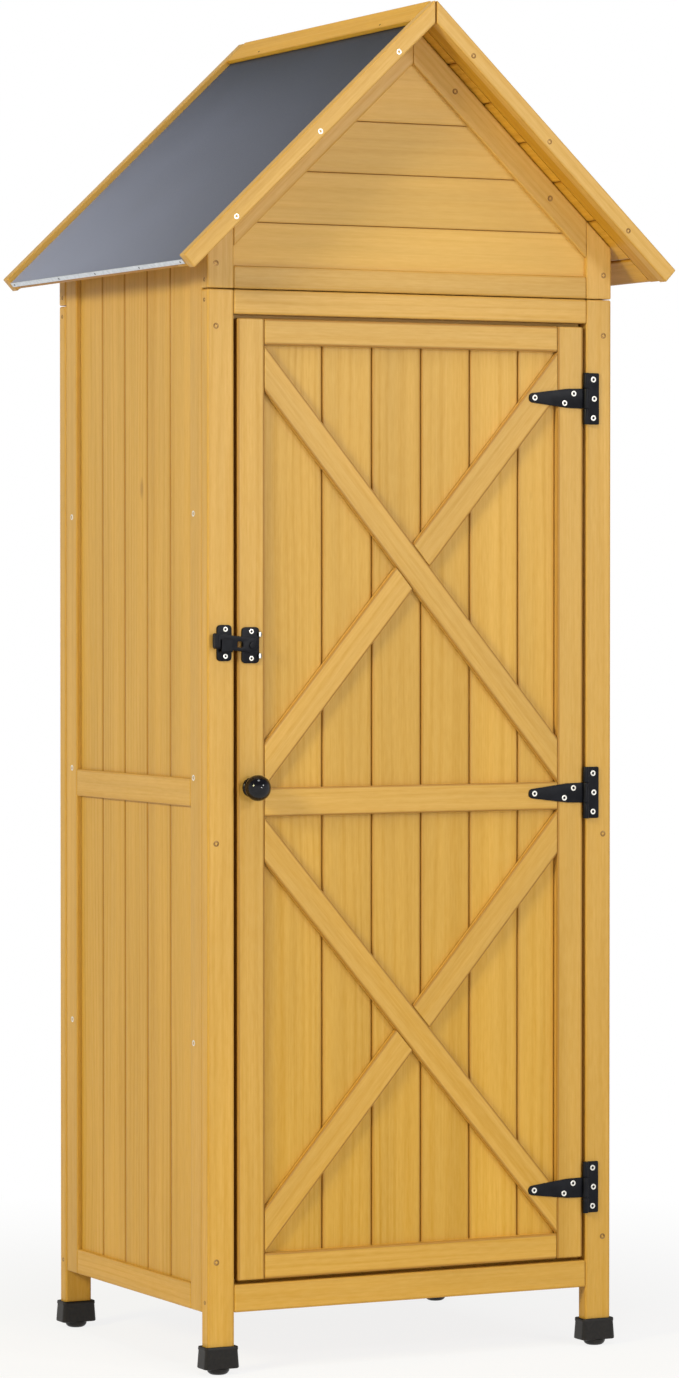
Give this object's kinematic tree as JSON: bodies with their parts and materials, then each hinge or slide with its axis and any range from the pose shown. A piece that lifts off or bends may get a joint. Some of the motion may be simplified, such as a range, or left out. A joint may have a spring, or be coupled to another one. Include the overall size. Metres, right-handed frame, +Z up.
{
  "type": "wooden tool shed",
  "caption": "Tall narrow free-standing wooden tool shed with a steep felted gable roof, cross-braced boarded door on tee hinges with a drop latch, and levelling feet.",
  "frame": {"origin": "on the ground under the middle of the roof, at the bottom centre of the bounding box", "axes": "+X to the right as seen facing the door, +Y from the door to the back wall, +Z up"},
  "size_m": [0.726, 0.596, 1.7903],
  "materials": {
    "wood_frame": "golden stained softwood, planed frame boards",
    "wood_boards": "golden stained softwood, tongue-and-groove boards",
    "roof_felt": "smooth blue-grey bitumen sheet with a soft sheen",
    "zinc_strip": "thin pale grey metal edge strip",
    "black_iron": "black painted steel",
    "black_knob": "glossy black ball knob",
    "black_plastic": "black moulded plastic"
  },
  "bodies": {
    "shed": {"front_left_post": "wood_frame", "front_right_post": "wood_frame", "back_left_post": "wood_frame", "back_right_post": "wood_frame", "foot_caps": "black_plastic", "foot_glides": "black_plastic", "left_side_stiles": "wood_frame", "left_side_rails": "wood_frame", "left_side_boarding": "wood_boards", "right_side_stiles": "wood_frame", "right_side_rails": "wood_frame", "right_side_boarding": "wood_boards", "back_rails": "wood_frame", "back_boarding": "wood_boards", "front_header": "wood_frame", "front_sill": "wood_frame", "floor_bearers": "wood_frame", "floor_boarding": "wood_boards", "front_gable_ends": "wood_frame", "front_gable_rail": "wood_frame", "front_gable_rakes": "wood_frame", "front_gable_boarding": "wood_boards", "back_gable_ends": "wood_frame", "back_gable_rail": "wood_frame", "back_gable_rakes": "wood_frame", "back_gable_boarding": "wood_boards", "left_roof_deck": "wood_boards", "right_roof_deck": "wood_boards", "roof_soffit_boards": "wood_frame", "roof_felts": "roof_felt", "front_barge_boards": "wood_frame", "back_barge_boards": "wood_frame", "ridge_boards": "wood_frame", "eave_strips": "zinc_strip", "hinge_leaves": "black_iron", "latch_keeper": "black_iron"},
    "door": {"door_stiles": "wood_frame", "door_rails": "wood_frame", "door_boarding": "wood_boards", "upper_braces": "wood_frame", "lower_braces": "wood_frame", "hinge_straps": "black_iron", "door_knob": "black_knob", "latch_base": "black_iron"},
    "latch": {"latch_bar": "black_iron"}
  },
  "joints": [
    {"name": "door_hinge", "type": "hinge", "parent": "shed", "child": "door", "pos_m": [0.2595, -0.237, 0.747], "axis": [0, 0, 1], "range_deg": [0, 170]},
    {"name": "latch_pivot", "type": "hinge", "parent": "door", "child": "latch", "pos_m": [-0.2395, -0.24, 0.948], "axis": [0, 1, 0], "range_deg": [0, 100]}
  ]
}
